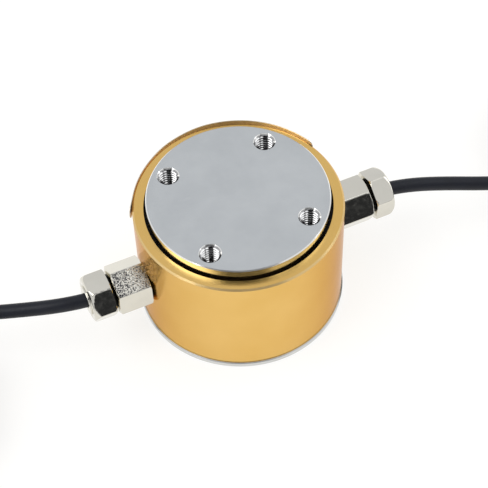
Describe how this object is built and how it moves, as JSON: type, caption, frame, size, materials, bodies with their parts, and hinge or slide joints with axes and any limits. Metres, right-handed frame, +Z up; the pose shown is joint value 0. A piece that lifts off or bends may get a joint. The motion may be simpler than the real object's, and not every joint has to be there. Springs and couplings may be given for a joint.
{
  "type": "multi-axis force sensor",
  "caption": "Round multi-axis force sensor: a ground steel load plate with tapped holes in a gold anodised sleeve, with a cable gland and a black cable on each side",
  "frame": {"origin": "centre of the base plate's underside", "axes": "X along the two cable glands, right gland at +X; Y to the back, where the bare strip is; Z up, out of the load plate"},
  "size_m": [0.3554, 0.0631, 0.0412],
  "materials": {
    "turned_steel": "turned steel, fine rings",
    "gold_anodise": "gold anodised, fine turned",
    "ground_steel": "ground steel plate with a fine straight grain",
    "machined_steel": "milled and wire-cut steel",
    "screw_steel": "plain screw steel",
    "seal_rubber": "black rubber",
    "strip_foil": "bare bent strip",
    "board_laminate": "green board laminate",
    "resistor_body": "dark ceramic chip",
    "gauge_film": "amber polyimide film",
    "wire_enamel": "enamelled wire",
    "nickel_plate": "bright nickel plate",
    "clamp_brass": "bare turned brass",
    "cable_jacket": "black satin cable jacket",
    "core_white_jacket": "white core insulation",
    "tie_nylon": "black nylon",
    "shrink_tubing": "black shrink tubing",
    "tinned_copper": "tinned copper strand",
    "core_red_jacket": "red core insulation",
    "core_black_jacket": "black core insulation",
    "core_green_jacket": "green core insulation",
    "core_yellow_jacket": "yellow core insulation",
    "core_blue_jacket": "blue core insulation"
  },
  "bodies": {
    "root": {"base_plate": "turned_steel", "outer_sleeve": "gold_anodise", "load_plate": "ground_steel", "measuring_body": "machined_steel", "hub_screws": "screw_steel", "hub_dowels": "screw_steel", "body_screws": "screw_steel", "sleeve_screws": "screw_steel", "base_ring": "seal_rubber", "gap_seal": "seal_rubber", "rear_strip": "strip_foil", "terminal_board": "board_laminate", "board_screws": "screw_steel", "board_resistors": "resistor_body", "vertical_gauges": "gauge_film", "lateral_gauges": "gauge_film", "gauge_wires": "wire_enamel", "left_gland_body": "nickel_plate", "left_gland_seal": "seal_rubber", "left_gland_clamp": "clamp_brass", "left_gland_nut": "nickel_plate", "left_cable_entry": "cable_jacket", "left_inner_cores": "core_white_jacket", "left_cable": "cable_jacket", "left_cable_coil": "cable_jacket", "left_coil_ties": "tie_nylon", "left_shrink_sleeve": "shrink_tubing", "left_core_tips": "tinned_copper", "left_core_red": "core_red_jacket", "left_core_black": "core_black_jacket", "left_core_green": "core_green_jacket", "left_core_white": "core_white_jacket", "left_core_yellow": "core_yellow_jacket", "left_core_blue": "core_blue_jacket", "right_gland_body": "nickel_plate", "right_gland_seal": "seal_rubber", "right_gland_clamp": "clamp_brass", "right_gland_nut": "nickel_plate", "right_cable_entry": "cable_jacket", "right_inner_cores": "core_white_jacket", "right_cable": "cable_jacket", "right_cable_coil": "cable_jacket", "right_coil_ties": "tie_nylon", "right_shrink_sleeve": "shrink_tubing", "right_core_tips": "tinned_copper", "right_core_red": "core_red_jacket", "right_core_black": "core_black_jacket", "right_core_green": "core_green_jacket", "right_core_white": "core_white_jacket", "right_core_yellow": "core_yellow_jacket", "right_core_blue": "core_blue_jacket"}
  },
  "joints": []
}
